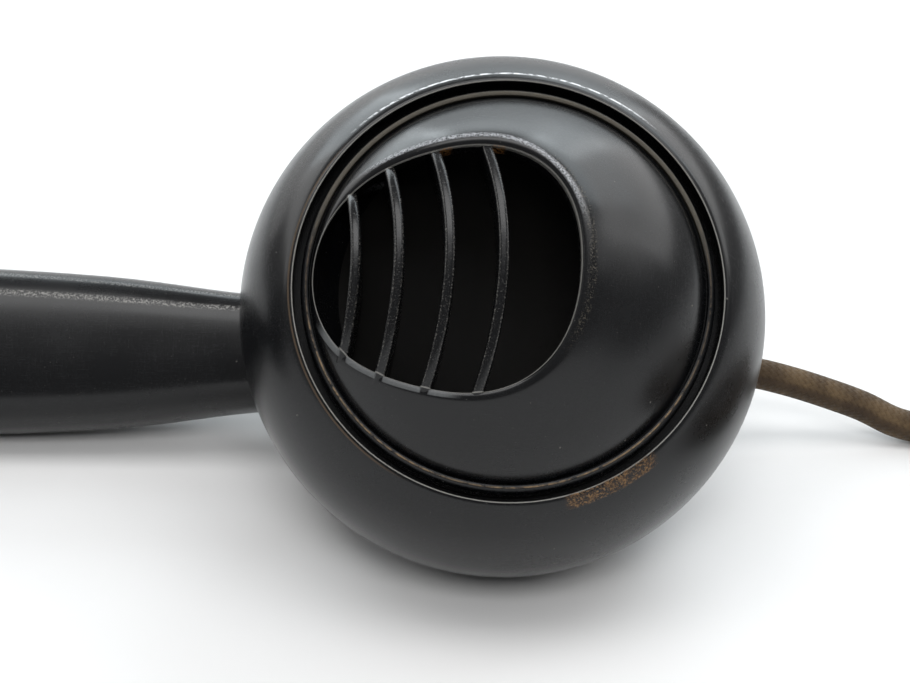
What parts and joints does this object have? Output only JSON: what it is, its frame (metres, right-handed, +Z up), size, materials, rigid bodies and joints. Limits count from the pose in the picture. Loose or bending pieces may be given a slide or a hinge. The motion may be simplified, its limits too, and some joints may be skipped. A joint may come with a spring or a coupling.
{
  "type": "telephone handset",
  "caption": "Black moulded telephone handset with screwed mouthpiece and ear cap, carbon transmitter, magnetic receiver and a braided cord with terminal tags.",
  "frame": {"origin": "centre of the handset's box, without its free cord, on the surface that it lies on", "axes": "+X along the handset towards the mouthpiece and the cord, +Y towards the back of the handle, +Z up"},
  "size_m": [0.3869, 0.0797, 0.0614],
  "materials": {
    "handset_phenolic": "moulded black phenolic, polished and worn",
    "mouthpiece_phenolic": "moulded black phenolic, polished and worn",
    "ear_cap_phenolic": "moulded black phenolic, polished and worn",
    "washer_fibre": "pressed fibre",
    "oiled_silk": "oiled silk",
    "spring_brass": "rolled spring brass",
    "black_rubber": "moulded rubber",
    "tinned_steel": "pressed tinned steel",
    "aluminium_sheet": "thin rolled sheet",
    "electrode_carbon": "polished carbon",
    "granule_carbon": "loose grains",
    "turned_brass": "turned brass",
    "red_fibre": "vulcanised fibre",
    "brown_phenolic": "moulded phenolic",
    "zinc_steel": "zinc plated steel",
    "wire_braid": "cotton braid over wire",
    "cord_braid": "brown cotton braid over three conductors",
    "magnet_steel": "ground cobalt steel",
    "soft_iron": "soft iron, lightly japanned",
    "bobbin_board": "varnished board",
    "enamelled_copper": "fine enamelled copper wire",
    "binding_thread": "waxed whipping thread",
    "conductor_braid": "cotton braid over a tinsel conductor",
    "tag_brass": "stamped brass, tarnished"
  },
  "bodies": {
    "handset": {"handset_body": "handset_phenolic", "capsule_gasket": "black_rubber", "capsule_front_plate": "tinned_steel", "capsule_case": "tinned_steel", "diaphragm_spacer": "tinned_steel", "transmitter_diaphragm": "aluminium_sheet", "diaphragm_clamp_ring": "tinned_steel", "moving_electrode": "electrode_carbon", "carbon_granules": "granule_carbon", "carbon_chamber": "turned_brass", "back_electrode": "turned_brass", "insulating_washer": "red_fibre", "electrode_nut": "turned_brass", "centre_contact_spring": "spring_brass", "rim_contact_spring": "spring_brass", "terminal_block": "brown_phenolic", "terminal_screws": "turned_brass", "block_screws": "zinc_steel", "transmitter_wires": "wire_braid", "cord_entry": "cord_braid", "cord_ferrule": "turned_brass", "cord_bush": "black_rubber", "receiver_wires": "wire_braid", "receiver_case": "tinned_steel", "receiver_magnet": "magnet_steel", "pole_pieces": "soft_iron", "coil_bobbins": "bobbin_board", "coil_windings": "enamelled_copper", "magnet_screws": "zinc_steel", "receiver_terminal_plate": "brown_phenolic", "receiver_terminal_screws": "turned_brass", "receiver_diaphragm": "soft_iron", "cord_lead": "cord_braid", "cord_coil": "cord_braid", "cord_tail": "cord_braid", "cord_end_binding": "binding_thread", "tail_conductors": "conductor_braid", "ring_tags": "tag_brass"},
    "mouthpiece_washer": {"mouthpiece_washer": "washer_fibre"},
    "mouthpiece": {"mouthpiece": "mouthpiece_phenolic", "moisture_membrane": "oiled_silk", "membrane_ring": "spring_brass"},
    "ear_washer": {"ear_washer": "washer_fibre"},
    "ear_cap": {"ear_cap": "ear_cap_phenolic"}
  },
  "joints": [
    {"name": "mouthpiece_lift", "type": "slide", "parent": "handset", "child": "mouthpiece_washer", "axis": [0, -0.749, 0.6626], "range_m": [0, 0.003]},
    {"name": "mouthpiece_turn", "type": "hinge", "parent": "mouthpiece_washer", "child": "mouthpiece", "pos_m": [0.07934, -0.00255, 0.03143], "axis": [0, -0.749, 0.6626], "range_deg": [0, 720]},
    {"name": "ear_cap_lift", "type": "slide", "parent": "handset", "child": "ear_washer", "axis": [0.1392, -0.7417, 0.6562], "range_m": [0, 0.003]},
    {"name": "ear_cap_turn", "type": "hinge", "parent": "ear_washer", "child": "ear_cap", "pos_m": [-0.08266, 0.00101, 0.02828], "axis": [0.1392, -0.7417, 0.6562], "range_deg": [0, 720]}
  ],
  "couplings": [
    {"joint": "mouthpiece_lift", "follows": "mouthpiece_turn", "m_per_rad": 0.00023873},
    {"joint": "ear_cap_lift", "follows": "ear_cap_turn", "m_per_rad": 0.00023873}
  ]
}
